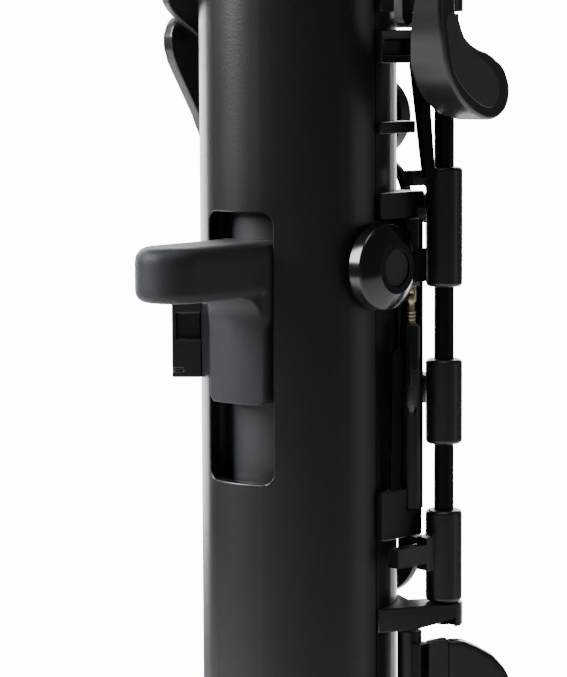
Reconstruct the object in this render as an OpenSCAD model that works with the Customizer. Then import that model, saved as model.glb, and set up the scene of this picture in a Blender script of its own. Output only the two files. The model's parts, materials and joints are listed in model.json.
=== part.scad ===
// Clarinet in moulded plastic: a single straight bore, a two-shell body over an inner tube,
// side-hinged ring keys, long levers and a thumb rest that slides in a slot.
// Millimetres. +Z runs up the bore from the bell, -Y is the thumb side, +X the player's right.
// Azimuth 0 is the thumb side, 90 the player's right, 180 the front, 270 the player's left.

/* [Bore and body] */
// Radius of the outer shells
body_r = 14; // [13.8:0.1:14.2]
// Radius of the inner tube that carries the bore
liner_r = 10.8; // [10.6:0.1:10.9]
// Radius of the bore
bore_r = 6.5; // [6:0.1:7]
// Height where the bell ends and the shells begin
body_low = 92; // [88:1:92]
// Height where the shells end and the barrel begins
body_top = 462; // [462:1:466]
// Distance of the shell parting line in front of the bore axis
seam_y = 0.5; // [0.3:0.1:0.8]

/* [Bell, barrel and mouthpiece] */
// Radius of the bell rim
bell_r = 29; // [28:0.5:32]
// Length of the barrel
barrel_len = 52; // [50:1:60]
// Length of the mouthpiece above the barrel
beak_len = 74; // [72:1:78]

/* [Thumb rest] */
// Height of the underside of the slide
rest_low = 254; // [250:1:256]
// Height of the top of the slide
rest_top = 276.8; // [276:0.2:277]
// Bottom of the slot in the back shell
slot_low = 242.9; // [242:0.1:243]
// Top of the slot in the back shell
slot_top = 280.7; // [280:0.1:281]
// Reach of the hook's end centre from the bore axis
hook_reach = 26.6; // [22:0.2:28]

/* [Keys] */
// Radius of the large moulded sleeves
sleeve_r = 2.6; // [2.2:0.05:2.6]
// Radius of the small moulded sleeves
small_sleeve_r = 1.5; // [1.4:0.05:1.6]
// Radius of the turning stack rods
stack_rod_r = 1.4; // [1.2:0.01:1.4]
// Radius of the fixed hinge rods
rod_r = 0.9; // [0.8:0.05:1]
// Radius of the side-hole key's hinge rod
sliver_rod_r = 1.2; // [1.1:0.05:1.2]
// Opening of the ring stacks at rest, in degrees
stack_open = 4; // [3:0.5:4]
// Opening of the low open-standing keys at rest, in degrees
low_open = 5; // [4:0.5:6]

/* [Hidden] */
$fn = 48;
eps = 0.01;
run = 0.06;             // running clearance in a hinge
gap = 0.1;              // half the parting gap between the shells
seat_gap = 0.08;        // height of a pad above its seat when closed
black = "#1b1d20";
charcoal = "#26282c";
grey = "#5c5f63";
steel = "#b8bbc0";
brass = "#b9955a";
cane = "#d9bd80";

shell_in = liner_r + 0.05;
ring_in = 4.9;          // finger ring, inner and outer radius
ring_out = 6.0;
chim_out = 4.2;         // finger hole chimney
chim_in = 3.3;
ring_face = 16.8;       // front of a finger ring when it is pressed
ring_t = 1.1;
vent_r = 5.6;           // vent cups of the two stacks

// Hinge lines that run beside the tube, as points in plan
right_outer = [17.5, 11.3];
right_inner = [14.4, 7.8];
low_inner = [15.6, 5.9];
left_outer = [-17.4, 11.1];
left_inner = [-14.4, 7.8];
front_left = [-9.3, 15.6];

// Finger holes on the front, from the left index finger down
hole_z = [405, 377, 352, 281.5, 256, 230.8];
lh1_z = hole_z[0]; lh2_z = hole_z[1]; lh3_z = hole_z[2];
rh1_z = hole_z[3]; rh2_z = hole_z[4]; rh3_z = hole_z[5];
upper_vent_z = 390.4;
lower_vent_z = 293.4;
thumb_z = 410;
register_z = 448;

// Padded holes as [azimuth, height, cup radius, seat radius]
seat_low = 15.2;
c_sharp_hole = [205, 328, 5.6, 14.4];
sliver_hole = [90, 273, 6.1, 14.4];
a_flat_hole = [150, 205, 6.2, 14.4];
f_sharp_hole = [180, 180, 6.2, seat_low];
f_c_hole = [180, 155, 7.4, seat_low];
e_b_hole = [180, 122, 7.8, seat_low];
side_low_hole = [104, 412, 5.2, 14.4];
side_high_hole = [78, 386, 4.8, 14.4];
throat_a_hole = [180, 446, 5.2, 14.4];
throat_g_hole = [220, 437, 5.0, 14.4];

// Transverse pivots as [azimuth, height, radius]
side_low_pivot = [104, 340, 17.6];
side_high_pivot = [78, 332, 17.6];
register_pivot = [0, 434, 17.6];
throat_a_pivot = [180, 432, 17.6];
throat_g_pivot = [220, 425, 17.6];
lever_w = 4;
ear_t = 1.5;            // thickness of a saddle's ears
pin_r = 0.8;
point_r = 0.5;          // pointed ends of the side-hole key's rod
sliver_r = 1.65;        // sleeves of the side-hole key

// ---------- placing ----------

// A point in plan at azimuth a and radius r
function plan(a, r) = [r * sin(a), -r * cos(a)];

// Local X points outwards, local Y towards rising azimuth
module at(a, r = 0, z = 0) rotate([0, 0, a - 90]) translate([r, 0, z]) children();

// Turns children about an upright axis through point p
module about(p, angle) translate([p.x, p.y, 0]) rotate([0, 0, angle]) translate([-p.x, -p.y, 0]) children();

// A plan outline raised from z1 to z2
module slab(z1, z2) translate([0, 0, z1]) linear_extrude(z2 - z1) children();

// A rod or sleeve body on an upright axis
module pillar(p, r, z1, z2) translate([p.x, p.y, z1]) cylinder(r = r, h = z2 - z1);

// A straight arm between two plan points, t thick
module bar(p, q, t, z1, z2) {
    d = q - p;
    translate([p.x, p.y, z1]) rotate([0, 0, atan2(d.y, d.x)])
        translate([0, -t / 2, 0]) cube([norm(d), t, z2 - z1]);
}

// An annular sector in plan, between azimuths a1 and a2
module sector(a1, a2, r1, r2) {
    steps = 16;
    polygon(concat(
        [for (i = [0:steps]) plan(a1 + (a2 - a1) * i / steps, r2)],
        [for (i = [steps:-1:0]) plan(a1 + (a2 - a1) * i / steps, r1)]));
}

// A side outline in the local radius-height plane, w wide
module profile(w) rotate([90, 0, 0]) linear_extrude(w, center = true) children();

// A cylinder that points outwards from radius r1 to r2
module radial(a, z, r, r1, r2) at(a, r1, z) rotate([0, 90, 0]) cylinder(r = r, h = r2 - r1);

// A sector wall that is round inside and outside
module wall(a1, a2, r1, r2, z1, z2) intersection() {
    difference() {
        translate([0, 0, z1]) cylinder(r = r2, h = z2 - z1, $fn = 96);
        translate([0, 0, z1 - 1]) cylinder(r = r1, h = z2 - z1 + 2, $fn = 96);
    }
    slab(z1 - 1, z2 + 1) polygon([plan(0, 0), plan(a1, 60), plan((a1 + a2) / 2, 60), plan(a2, 60)]);
}

// ---------- pads, cups and rings ----------

function stem_r(cup_r) = cup_r > 6 ? 2.65 : 2.1;
pad_t = 1.5;

// Key cup, on its seat plane at height 0
module cup_shape(r) rotate_extrude() polygon([
    [stem_r(r), pad_t], [r - 0.7, pad_t], [r - 0.7, 0.3], [r, 0.3], [r, 2.1],
    [r - 0.3, 2.5], [r * 0.59, 4], [stem_r(r), 4]]);

// Silicone pad with the stem that shows in the middle of the cup
module pad_shape(r) rotate_extrude() polygon([
    [0, seat_gap], [r - 0.7, seat_gap], [r - 0.7, pad_t], [stem_r(r), pad_t], [stem_r(r), 3.7], [0, 3.7]]);

// Room for the pad, cut from the arms that run into a cup
module pad_room(hole) at(hole[0], hole[3], hole[1]) rotate([0, 90, 0]) rotate_extrude() polygon([
    [0, -3], [hole[2] - 0.7, -3], [hole[2] - 0.7, pad_t], [stem_r(hole[2]), pad_t], [stem_r(hole[2]), 4.4], [0, 4.4]]);

module cup(hole) at(hole[0], hole[3], hole[1]) rotate([0, 90, 0]) cup_shape(hole[2]);
module pad(hole) at(hole[0], hole[3], hole[1]) rotate([0, 90, 0]) pad_shape(hole[2]);

// Finger ring at the front, pressed flush with its chimney
module ring(z, out = ring_out) at(180, ring_face - ring_t, z) rotate([0, 90, 0]) difference() {
    cylinder(r = out, h = ring_t);
    translate([0, 0, -1]) cylinder(r = ring_in, h = ring_t + 2);
}

function vent(z) = [180, z, vent_r, 14.8];

// ---------- joints of the instrument ----------

module seal(z, r) translate([0, 0, z]) rotate_extrude() translate([r - 0.5, 0]) circle(r = 0.5, $fn = 24);

module bell() color(black) difference() {
    rotate_extrude($fn = 96) polygon(concat(
        [[bell_r - 0.6, 0], [bell_r, 0.8], [bell_r, 3.4], [bell_r - 1.2, 4.6]],
        [for (i = [0:14]) let (t = i / 14) [16.4 + (bell_r - 3 - 16.4) * pow(1 - t, 2.4), 7 + 58 * t]],
        [[16.4, 74], [17.6, 76], [17.6, body_low - 0.6], [17, body_low], [0, body_low], [0, 0]]));
    // flared inside with a straight lip
    rotate_extrude($fn = 96) polygon(concat(
        [[0, -1], [25.5, -1], [25.5, 5]],
        [for (i = [1:12]) let (t = i / 12) [7.5 + 18 * pow(1 - t, 2.1), 5 + 67 * t]],
        [[0, 72]]));
    translate([0, 0, 71]) cylinder(r = bore_r + 0.5, h = 4);
    translate([0, 0, 75]) cylinder(r = liner_r + 0.2, h = 30);
}

module barrel() color(black) difference() {
    rotate_extrude($fn = 96) polygon(concat(
        [[0, body_top], [16, body_top], [16.6, body_top + 0.6], [16.6, body_top + 7], [15.6, body_top + 8]],
        [for (i = [0:8]) let (t = i / 8) [15.6 + 0.9 * sin(180 * t), body_top + 9 + (barrel_len - 18) * t]],
        [[15.6, body_top + barrel_len - 8], [16.4, body_top + barrel_len - 7],
         [16.4, body_top + barrel_len - 0.6], [15.8, body_top + barrel_len], [0, body_top + barrel_len]]));
    translate([0, 0, body_top - 1]) cylinder(r = bore_r, h = barrel_len + 2);
    translate([0, 0, body_top - 1]) cylinder(r = liner_r + 0.2, h = 17.2);
    translate([0, 0, body_top + barrel_len - 15.2]) cylinder(r = 10.2, h = 17);
}

beak_z = body_top + barrel_len;          // shoulder of the mouthpiece
tip_z = beak_z + beak_len;
table_y = -7.4;                          // flat that the reed lies on
function beak_r(z) = 13 - 0.045 * (z - beak_z - 6);

module mouthpiece() color(black) difference() {
    union() {
        translate([0, 0, beak_z - 15]) cylinder(r = 10, h = 16);
        rotate_extrude($fn = 96) polygon([[0, beak_z], [12.4, beak_z], [13, beak_z + 0.8], [13, beak_z + 6],
            [beak_r(tip_z), tip_z], [0, tip_z]]);
    }
    translate([0, 0, beak_z - 16]) cylinder(r = bore_r, h = 40);
    translate([0, 0, beak_z - 7]) rotate_extrude() translate([9.7, 0]) circle(r = 0.5, $fn = 24);
    // chamber and window that open under the reed
    translate([0, 0, beak_z + 23.9]) cylinder(r1 = bore_r, r2 = 4.2, h = 16);
    translate([-4.6, -14, beak_z + 34]) cube([9.2, 12.5, beak_len - 36.5]);
    // table for the reed
    translate([-20, table_y - 20, beak_z + 18]) cube([40, 20, beak_len]);
    // sloping beak
    translate([0, 10.4, beak_z + 34]) rotate([21.3, 0, 0]) translate([-20, 0, -4]) cube([40, 30, 60]);
}

module reed() color(cane) intersection() {
    rotate([90, 0, 90]) linear_extrude(14, center = true) polygon([
        [table_y, beak_z + 19], [table_y, tip_z - 0.6], [table_y - 0.25, tip_z - 0.6],
        [table_y - 1.3, tip_z - 18], [table_y - 2.6, tip_z - 34], [table_y - 2.8, beak_z + 19]]);
    rotate([90, 0, 0]) linear_extrude(40, center = true) polygon([
        [-5.6, beak_z + 18], [5.6, beak_z + 18], [6.5, tip_z], [-6.5, tip_z]]);
}

lig_low = beak_z + 22;
lig_top = beak_z + 44;
module ligature() color(steel) difference() {
    union() {
        rotate_extrude($fn = 96) polygon([
            [beak_r(lig_low), lig_low], [beak_r(lig_low) + 0.75, lig_low],
            [beak_r(lig_top) + 0.75, lig_top], [beak_r(lig_top), lig_top]]);
        for (s = [-1, 1]) translate([s * 3.6 - 1.1, -16.4, lig_low + 1.5]) cube([2.2, 4.2, lig_top - lig_low - 3]);
    }
    translate([-2.5, -20, lig_low - 1]) cube([5, 10, lig_top - lig_low + 2]);
    for (z = [lig_low + 5, lig_top - 5]) translate([-10, -14.8, z]) rotate([0, 90, 0]) cylinder(r = 0.9, h = 20);
}

module ligature_screw(z) color(brass) translate([0, -14.8, z]) {
    translate([-5.5, 0, 0]) rotate([0, 90, 0]) cylinder(r = 0.88, h = 11);
    translate([4.75, 0, 0]) rotate([0, 90, 0]) cylinder(r = 2.3, h = 1.4);
    translate([6.14, -0.5, -3]) cube([4.5, 1, 6]);
}

module joint_seals() color(grey) {
    seal(body_low - 8, liner_r + 0.2);
    seal(body_top + 8, liner_r + 0.2);
    seal(beak_z - 7, 10.2);
}

// ---------- body ----------

// Chimneys as [azimuth, height, outer radius, hole radius, top radius]
chimneys = concat(
    [for (z = hole_z) [180, z, chim_out, chim_in, ring_face - 0.05]],
    [[0, thumb_z, chim_out, chim_in, ring_face - 0.05]],
    [for (h = [vent(upper_vent_z), vent(lower_vent_z)]) [h[0], h[1], 3.6, 2.4, h[3]]],
    [for (h = [c_sharp_hole, sliver_hole, side_low_hole, side_high_hole, throat_a_hole, throat_g_hole])
        [h[0], h[1], h[2] - 1.6, h[2] - 2.8, h[3]]],
    [for (h = [a_flat_hole, f_sharp_hole, f_c_hole, e_b_hole]) [h[0], h[1], h[2] - 1.5, h[2] - 2.7, h[3]]]);

module tone_hole_chimneys() color(black) for (c = chimneys) difference() {
    radial(c[0], c[1], c[2], 6, c[4]);
    radial(c[0], c[1], c[3], 5, c[4] + 1);
    translate([0, 0, c[1] - 12]) cylinder(r = liner_r, h = 24, $fn = 96);
}

module bore_tube() color(charcoal) difference() {
    translate([0, 0, body_low - 16]) cylinder(r = liner_r, h = body_top - body_low + 32, $fn = 96);
    translate([0, 0, body_low - 17]) cylinder(r = bore_r, h = body_top - body_low + 34, $fn = 96);
    for (c = chimneys) radial(c[0], c[1], c[3], 2, 14);
    for (z = [body_low - 8, body_top + 8]) translate([0, 0, z]) rotate_extrude() translate([liner_r - 0.3, 0])
        circle(r = 0.5, $fn = 24);
    radial(0, register_z, 2.2, 2, 14);
}

// The half of the tube in front of or behind the parting line
module half_tube(front) intersection() {
    difference() {
        translate([0, 0, body_low]) cylinder(r = body_r, h = body_top - body_low, $fn = 128);
        translate([0, 0, body_low - 1]) cylinder(r = shell_in, h = body_top - body_low + 2, $fn = 128);
    }
    translate([-30, front ? seam_y + gap : -60 + seam_y - gap, body_low - 1])
        cube([60, 60, body_top - body_low + 2]);
}

module front_shell() color(black) difference() {
    half_tube(true);
    for (c = chimneys) radial(c[0], c[1], c[2], 5, 16);
}

slot_half = 24.1;       // half the width of the slot, in degrees
slot_az = 2.5;          // the slot and the slide sit a little to the right
module back_shell() color(black) difference() {
    half_tube(false);
    for (c = chimneys) radial(c[0], c[1], c[2], 5, 16);
    radial(0, register_z, 2.2, 5, 16);
    // slot for the thumb rest, with round corners
    slot_chord = body_r * sin(slot_half);
    corner = 1.6;
    at(slot_az) rotate([0, 90, 0]) linear_extrude(20) hull()
        for (z = [slot_low + corner, slot_top - corner], y = [-1, 1])
            translate([-z, y * (slot_chord - corner)]) circle(r = corner, $fn = 32);
    // wider channel under the slot, which keeps the slide in
    wall(slot_az - 34, slot_az + 34, shell_in - 0.5, 12.3, slot_low - 2, slot_top + 2);
}

module register_tube() color(brass) difference() {
    radial(0, register_z, 2.2, 4.5, 15.2);
    radial(0, register_z, 1.1, 4, 16);
}

// ---------- posts ----------

// Cuts what stands on the shell down to the shell's surface
module on_shell() difference() {
    children();
    cylinder(r = body_r, h = 600, $fn = 128);
}

// Block on the player's right or left whose outer face is flat
module side_block(side, x, y2, z1, z2) {
    low = side > 0 ? 9 : -x;
    translate([low, seam_y + gap, z1]) cube([x - 9, y2 - seam_y - gap, z2 - z1]);
}

// Long post that reaches the outer hinge line
module long_post(side, z1, z2) slab(z1, z2) polygon([
    [side * 9, seam_y + gap], [side * 14.9, seam_y + gap], [side * 20.1, 12.4], [side * 19.6, 14.2],
    [side * 17, 14.4], [side * 12.6, 9.5], [side * 9, 11.5]]);

module rod_hole(p, r, z1, z2) pillar(p, r, z1 - 1, z2 + 1);

module right_posts() color(black) {
    // lower post of both stacks
    on_shell() difference() {
        slab(221, 224.4) polygon([
            [9, seam_y + gap], [14.35, seam_y + gap], [19.7, 11], [19.9, 12.2], [19.2, 13.6], [17.6, 14.4],
            [15.8, 13.8], [12.6, 9.5], [9, 11.5]]);
        at(132) profile(60) polygon([[15.5, 220.9], [22, 220.9], [22, 222.1]]);
        rod_hole(right_outer, stack_rod_r + run, 220, 226);
        rod_hole(low_inner, rod_r, 219, 222.9);
    }
    // upper post of the right-hand rings, cored out on its side face
    on_shell() difference() {
        slab(301.2, 305.8) polygon([
            [9, seam_y + gap], [15, seam_y + gap], [15.7, 6.4], [17.2, 8.9], [19.5, 10.2], [19.6, 12.2],
            [18.6, 13.9], [16.4, 14.3], [12.6, 9.5], [9, 11.5]]);
        rod_hole(right_outer, stack_rod_r + run, 300, 308);
        translate([13.9, 1.3, 302.4]) cube([8, 6.3, 2.1]);
    }
    // top post of the lower stack
    on_shell() difference() {
        slab(308.3, 311.6) polygon([
            [9, seam_y + gap], [14.9, seam_y + gap], [19.5, 11.2], [19.5, 12.6], [18.8, 13.9], [16.4, 14.3],
            [12.6, 9.5], [9, 11.5]]);
        rod_hole(right_outer, stack_rod_r + run, 306, 310.4);
    }
    // posts of the side-hole key: a plain block above, a stepped block below
    on_shell() difference() {
        side_block(1, 14.95, 10.05, 279.5, 283.2);
        translate([9, 8.6, 279]) cube([12, 8, 1.7]);
        rod_hole(right_inner, point_r, 278, 282);
    }
    on_shell() difference() {
        side_block(1, 15.1, 9.4, 234.2, 241.2);
        translate([9, 6, 238]) cube([12, 8, 5]);
        rod_hole(right_inner, point_r, 235.6, 239);
    }
    // rib behind the side-hole key's hinge
    on_shell() wall(124, 140, 13, 15.2, 246, 283);
    // small spring rest
    on_shell() side_block(1, 14.9, 8.2, 291.4, 293.1);
    // upper stack
    for (z = [[339.6, 343], [397, 400.4]]) on_shell() difference() {
        long_post(1, z[0], z[1]);
        rod_hole(right_outer, stack_rod_r + run, z[0], z[1]);
        translate([8, -0.5, z[0] - 1]) cube([14, 9.5, 6]);
    }
    // low keys: A flat and E on the inner line, F on the outer line
    on_shell() difference() {
        long_post(1, 195.4, 198.6);
        rod_hole(right_outer, rod_r, 190, 197);
        rod_hole(low_inner, rod_r, 194, 199);
    }
    on_shell() difference() {
        slab(147.2, 150) polygon([
            [8, 12], [12.2, 10.8], [15.6, 9.5], [19.4, 9.6], [19.6, 12.8], [16, 13.6], [10, 14]]);
        rod_hole(right_outer, rod_r, 149.2, 151);
    }
    on_shell() difference() {
        side_block(1, 17.1, 8.5, 108.4, 112);
        rod_hole(low_inner, rod_r, 110.4, 113);
    }
}

// Plain block that stands out from the shell and holds a rod
module rod_block(p, z, h) on_shell() difference() {
    at(atan2(p.x, -p.y), 0, z) translate([10, -2.3, 0]) cube([norm(p) + 1.9 - 10, 4.6, h]);
    rod_hole(p, rod_r, z, z + h);
}

module left_posts() color(black) {
    // C sharp key
    for (z = [312.6, 342]) rod_block(left_inner, z, 3.4);
    // lever of the F sharp key
    for (z = [170, 304.6]) rod_block(left_outer, z, 3.4);
    // guide block with a cored face, beside the thumb rest
    on_shell() difference() {
        at(-50, 0, 256.7) translate([10, -2.6, 0]) cube([8, 5.2, 10.7]);
        at(-50, 0, 262.1) translate([13.2, 1.4, 0]) cube([4.1, 3, 3.8]);
        at(-50, 0, 257.5) translate([16.4, 2.2, 0]) cube([3, 3, 0.5]);
    }
}

// Saddle with two ears for a transverse pivot
module saddle(pivot, w) on_shell() difference() {
    at(pivot[0], 0, pivot[1]) profile(w + 0.6 + 2 * ear_t) polygon([
        [10, -3.2], [15, -3.2], [pivot[2] - 0.4, -1.9], [pivot[2] + 1.6, -1.9],
        [pivot[2] + 1.9, -1.2], [pivot[2] + 1.9, 1.2], [pivot[2] + 1.6, 1.9],
        [pivot[2] - 0.4, 1.9], [15, 3.2], [10, 3.2]]);
    at(pivot[0], 15.2, pivot[1] - 8) translate([0, -w / 2 - 0.3, 0]) cube([12, w + 0.6, 16]);
    at(pivot[0], pivot[2], pivot[1]) rotate([90, 0, 0]) cylinder(r = pin_r, h = 40, center = true);
}

module back_posts() color(black) {
    saddle(register_pivot, lever_w);
    for (z = [397.4, 419.6]) rod_block(thumb_ring_axis, z, 3);
    saddle(side_high_pivot, lever_w);
}

module front_posts() color(black) {
    saddle(throat_a_pivot, lever_w);
    saddle(throat_g_pivot, lever_w);
    saddle(side_low_pivot, lever_w);
    for (z = [169.5, 191]) rod_block(front_left, z, 3);
}

// ---------- rods, screws and springs ----------

module pin(pivot, w) at(pivot[0], pivot[2], pivot[1]) rotate([90, 0, 0])
    cylinder(r = pin_r, h = w + 0.6 + 2 * ear_t, center = true);

module hinge_rods() color(steel) {
    pillar(right_inner, sliver_rod_r, 238.1, 264.4);
    pillar(right_inner, point_r, 235.6, 238.1);
    pillar(right_inner, sliver_rod_r, 269.8, 279.4);
    pillar(right_inner, point_r, 279.4, 282);
    pillar(low_inner, rod_r, 110.4, 222.9);
    pillar(right_outer, rod_r, 149.2, 197);
    pillar(left_inner, rod_r, 313.6, 344.4);
    pillar(left_outer, rod_r, 171, 307);
    pillar(front_left, rod_r, 170.5, 193);
    pillar(thumb_ring_axis, rod_r, 398.4, 421.6);
    for (p = [side_low_pivot, side_high_pivot, register_pivot, throat_a_pivot, throat_g_pivot]) pin(p, lever_w);
}

// Brass pivot screw that shows in the open window of the side-hole key's sleeve
module pivot_screws() color(brass) {
    pillar(right_inner, 0.65, 264.4, 267.6);
    for (z = [264.5, 265, 265.5, 266]) pillar(right_inner, 0.85, z, z + 0.25);
    difference() {
        pillar(right_inner, 0.95, 267.6, 269.8);
        about(right_inner, 102) translate([right_inner.x - 3, right_inner.y - 3, 268.5]) cube([2.4, 6, 0.4]);
    }
}

// Flat spring whose side outline lies in X and Z, between two depths in Y
module spring(y1, y2) translate([0, y2, 0]) rotate([90, 0, 0]) linear_extrude(y2 - y1) children();

module leaf_springs() color(charcoal) {
    // long spring, rounded at the top
    intersection() {
        spring(2.2, 4.3) polygon([[14.85, 241.2], [15.3, 241.2], [15.75, 261.5], [15.3, 261.5]]);
        union() {
            translate([10, 2.2, 241]) cube([8, 2.1, 19.45]);
            translate([10, 3.25, 260.45]) rotate([0, 90, 0]) cylinder(r = 1.05, h = 8);
        }
    }
    // short spring that hangs from the upper post
    spring(6.2, 8.4) polygon([[15.2, 301.2], [16.9, 301.2], [18.33, 285.2], [17.54, 285.2]]);
}

// ---------- thumb rest ----------

rest_low_half = 5.04;   // half the width of the plate, low down and where it flares
rest_top_half = 5.5;
hook_w = 5.4;           // half the width of the hook
hook_low = 269.2;
// Right-hand side of the hook's section, from the middle of the top round to the middle of the bottom
hook_side = concat([[0, rest_top]],
    [for (i = [0:6]) [hook_w - 2 + 2 * sin(15 * i), rest_top - 2 + 2 * cos(15 * i)]],
    [for (i = [0:6]) [hook_w - 1.6 + 1.6 * cos(15 * i), hook_low + 1.6 - 1.6 * sin(15 * i)]],
    [[0, hook_low]]);
module thumb_rest() color(black) {
    wall(slot_az - 31, slot_az + 31, liner_r + 0.25, 12.1, rest_low, rest_top);
    intersection() {
        wall(slot_az - 40, slot_az + 40, 12.09, 14.6, rest_low, rest_top);
        at(slot_az, 5) rotate([90, 0, 90]) linear_extrude(20) polygon([
            [-rest_low_half + 0.8, rest_low], [rest_low_half - 0.8, rest_low], [rest_low_half, rest_low + 0.8],
            [rest_low_half, 265], [rest_top_half, 266.4], [rest_top_half, rest_top - 1.7],
            [rest_top_half - 0.5, rest_top - 0.5], [rest_top_half - 1.7, rest_top], [1.7 - rest_top_half, rest_top],
            [0.5 - rest_top_half, rest_top - 0.5], [-rest_top_half, rest_top - 1.7],
            [-rest_top_half, 266.4], [-rest_low_half, 265], [-rest_low_half, rest_low + 0.8]]);
    }
    // hook, with a hollow curve under its root
    difference() {
        rotate([0, 0, slot_az]) {
            translate([0, -12.6, 0]) rotate([90, 0, 0]) linear_extrude(hook_reach - 12.6)
                polygon(concat(hook_side, [for (i = [len(hook_side) - 2:-1:1]) [-hook_side[i].x, hook_side[i].y]]));
            translate([0, -hook_reach, 0]) rotate_extrude() polygon(hook_side);
        }
        translate([0, 0, hook_low - 1]) cylinder(r = 14.55, h = 10, $fn = 96);
    }
    intersection() {
        rotate_extrude($fn = 96) difference() {
            translate([14.5, hook_low - 3.6]) square([3.7, 4.4]);
            translate([18.2, hook_low - 3.6]) circle(r = 3.6);
        }
        rotate([0, 0, slot_az]) translate([-4.6, -25, 260]) cube([9.2, 25, 12]);
    }
}

// ---------- lever keys with a transverse pivot ----------

// Long lever: outline in radius and height, barrel round the pin
module lever(pivot, w) difference() {
    union() {
        at(pivot[0]) profile(w) children();
        at(pivot[0], pivot[2], pivot[1]) rotate([90, 0, 0]) cylinder(r = 1.6, h = w, center = true);
    }
    at(pivot[0], pivot[2], pivot[1]) rotate([90, 0, 0]) cylinder(r = pin_r + run, h = w + 2, center = true);
}

module register_key() color(black) {
    lever(register_pivot, lever_w) polygon([
        [18, 420], [19.4, 420], [19.4, 427], [19, 431], [19, 437], [19, 445.6], [17.7, 445.6], [17.2, 437],
        [17.2, 431], [17.8, 427]]);
    difference() {
        at(0, 15.6, register_z) rotate([0, 90, 0]) cylinder(r = 3.6, h = 3.4);
        at(0, 15.5, register_z) rotate([0, 90, 0]) cylinder(r = 2.8, h = 1.5);
    }
    at(0, 18, 421.5) rotate([0, 90, 0]) cylinder(r = 4.6, h = 1.5);
}

module register_pad() color(grey) at(0, 15.28, register_z) rotate([0, 90, 0]) cylinder(r = 2.8, h = 1.72);

module throat_a_key() color(black) {
    lever(throat_a_pivot, lever_w) polygon([
        [17.4, 417], [19, 417], [19.2, 424], [18.9, 429], [18.9, 436], [18.4, 442.2], [16.5, 442.2],
        [16.6, 436], [16.7, 428], [17.5, 422]]);
    at(180, 17.5, 417.2) rotate([0, 90, 0]) cylinder(r = 4.2, h = 1.5);
    cup(throat_a_hole);
}

module throat_g_sharp_key() color(black) {
    lever(throat_g_pivot, lever_w) polygon([
        [17.4, 410], [19, 410], [19.2, 417], [18.9, 422], [18.9, 429], [18.2, 433.6], [16.5, 433.6],
        [16.6, 429], [16.7, 421], [17.5, 415]]);
    at(220, 17.5, 410.2) rotate([0, 90, 0]) cylinder(r = 3.8, h = 1.5);
    cup(throat_g_hole);
}

paddle_out = 27.5;      // outer face of the low side key's paddle
paddle_t = 4.9;
paddle_az = 100;
// Outline of the paddle: distance forwards, and height
paddle_outline = [[-7.7, 318], [-7.7, 309.9], [-7.45, 306.2], [-6.7, 303.2], [-5.5, 300.2], [-3.1, 297.3],
    [0, 295.2], [3.3, 293.9], [6.7, 293.3], [9.7, 293.8], [11.7, 295.1], [12.5, 297.3], [11.8, 299.2],
    [10.5, 300.7], [8.6, 301.55], [6.4, 302.5], [3.2, 303.2], [0.3, 304.3], [-2.6, 306.6], [-3.5, 308],
    [-3.5, 311], [-1, 313], [3.6, 313.6], [3.6, 318]];

module side_key_low() color(black) {
    lever(side_low_pivot, lever_w) polygon([
        [22.9, 314], [27.2, 314], [26.6, 318.4], [19.6, 329], [18.8, 333], [18.8, 407.6], [16.6, 407.6],
        [16.6, 329], [17.6, 325], [22.2, 318.4]]);
    difference() {
        at(paddle_az, 21.1, 0) rotate([90, 0, 90]) linear_extrude(paddle_out - 21.1) polygon(paddle_outline);
        inlay_solid();
        // the inner face slopes towards the tube at the back and steps out at the front
        at(paddle_az) profile(60) polygon([[19, 290], [21.1, 290], [21.1, 297.6], [23.45, 310.4], [23.45, 312.5],
            [22.6, 314], [22.6, 320], [19, 320]]);
        at(paddle_az) translate([19, 3.5, 290]) cube([paddle_out - paddle_t - 19, 20, 30]);
    }
    difference() {
        cup(side_low_hole);
        pad_room(side_low_hole);
    }
}

// Soft inlay let into the paddle's face
module inlay_solid() at(paddle_az, paddle_out - 0.5, 0) rotate([90, 0, 90]) linear_extrude(0.5)
    polygon([[-6.26, 307.7], [-5.93, 305.1], [-5.44, 303.1], [-3.93, 299.9], [-0.19, 297.1], [5.08, 295.2],
        [7.26, 295.2], [8.82, 297], [8.01, 299.5], [4.93, 301.3], [0.35, 303.4], [-1.88, 305.5], [-3, 307.2],
        [-4.1, 307.8]]);

module side_key_low_inlay() color(charcoal) inlay_solid();

module side_key_high() color(black) {
    lever(side_high_pivot, lever_w) polygon([
        [19.6, 315], [21.6, 315], [20.8, 320], [19.6, 325], [18.8, 328], [18.8, 381.6], [16.6, 381.6],
        [16.6, 325], [17.8, 320]]);
    // foot, rounded below
    intersection() {
        wall(74, 88.5, 20, 21.6, 300, 318);
        at(85.75, 10) rotate([90, 0, 90]) linear_extrude(20) polygon([[-6, 318], [-6, 315.5], [-1.15, 314.5],
            [-1.1, 307.5], [-0.75, 306.7], [0, 306.3], [0.75, 306.7], [1.1, 307.5], [1.15, 318]]);
    }
    cup(side_high_hole);
}

// ---------- keys that turn on hinges beside the tube ----------

// Sleeve round a fixed rod
module sleeve(p, r, z1, z2, bore) difference() {
    pillar(p, r, z1, z2);
    rod_hole(p, bore, z1, z2);
}

// Cuts the hinge bore through a whole key, so that arms do not fill it
module bored(p, bore, z1, z2) difference() {
    children();
    rod_hole(p, bore, z1, z2);
}

// Ring key on a stack: sleeve, arm and finger ring, drawn pressed
module ring_key(z, z1, z2, arm, out = ring_out) about(right_outer, -stack_open)
    bored(right_outer, stack_rod_r, z1, z2) {
        pillar(right_outer, sleeve_r, z1, z2);
        bar(right_outer, [5.2, 15.9], 1.9, arm[0], arm[1]);
        ring(z, out);
    }

// Cup that a stack closes
module vent_cup(z) difference() {
    union() {
        cup(vent(z));
        children();
    }
    pad_room(vent(z));
}

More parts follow.
